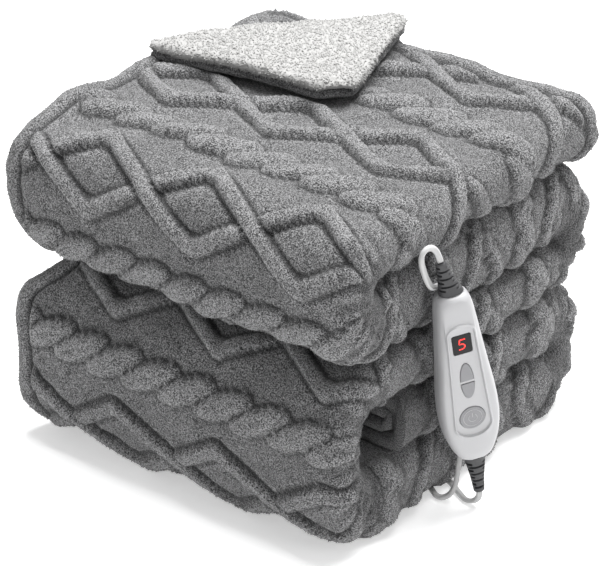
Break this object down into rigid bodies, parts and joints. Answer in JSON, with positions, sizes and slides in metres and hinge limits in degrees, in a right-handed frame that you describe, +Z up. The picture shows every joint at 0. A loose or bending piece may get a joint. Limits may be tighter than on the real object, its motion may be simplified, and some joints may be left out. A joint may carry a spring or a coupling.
{
  "type": "electric heated blanket",
  "caption": "Cable-knit plush heated throw folded into a stack, one corner turned back to its sherpa lining, with hand controller, leads and coiled mains lead with plug.",
  "frame": {"origin": "on the underside, 160 mm in from the hemmed edge and 155 mm in from the front bulge of the folds, so about the middle of the stack", "axes": "+X from the hemmed side to the folded noses where the controller leans, +Y from the front bends to the back bends, +Z up; z = 0 is the surface it lies on"},
  "size_m": [0.445, 0.3191, 0.2815],
  "materials": {
    "plush": "grey long-pile plush with raised cables and lattice",
    "sherpa": "white curly sherpa pile",
    "controller_shell": "satin white moulding",
    "display": "glossy dark window",
    "digit": "lit red segments",
    "buttons": "soft-touch grey",
    "strain_relief": "ribbed dark moulding",
    "lead": "white flexible sheath",
    "blades": "plated"
  },
  "bodies": {
    "root": {"plush_blanket": "plush", "sherpa_lining": "sherpa", "controller_front": "controller_shell", "controller_back": "controller_shell", "display_window": "display", "display_digit": "digit", "strain_relief_upper": "strain_relief", "strain_relief_lower": "strain_relief", "lead_gland": "strain_relief", "blanket_lead": "lead", "mains_lead": "lead", "plug_lead": "lead", "mains_coil": "lead", "mains_plug": "lead", "plug_blade_left": "blades", "plug_blade_right": "blades"},
    "up_key": {"button_up": "buttons"},
    "down_key": {"button_down": "buttons"},
    "power_key": {"button_power": "buttons"}
  },
  "joints": [
    {"name": "press_up", "type": "slide", "parent": "root", "child": "up_key", "axis": [-0.8046, 0.5883, 0.0803], "range_m": [0, 0.0008], "stiffness_N_per_m": 400},
    {"name": "press_down", "type": "slide", "parent": "root", "child": "down_key", "axis": [-0.8046, 0.5883, 0.0803], "range_m": [0, 0.0008], "stiffness_N_per_m": 400},
    {"name": "press_power", "type": "slide", "parent": "root", "child": "power_key", "axis": [-0.8046, 0.5883, 0.0803], "range_m": [0, 0.0008], "stiffness_N_per_m": 400}
  ]
}
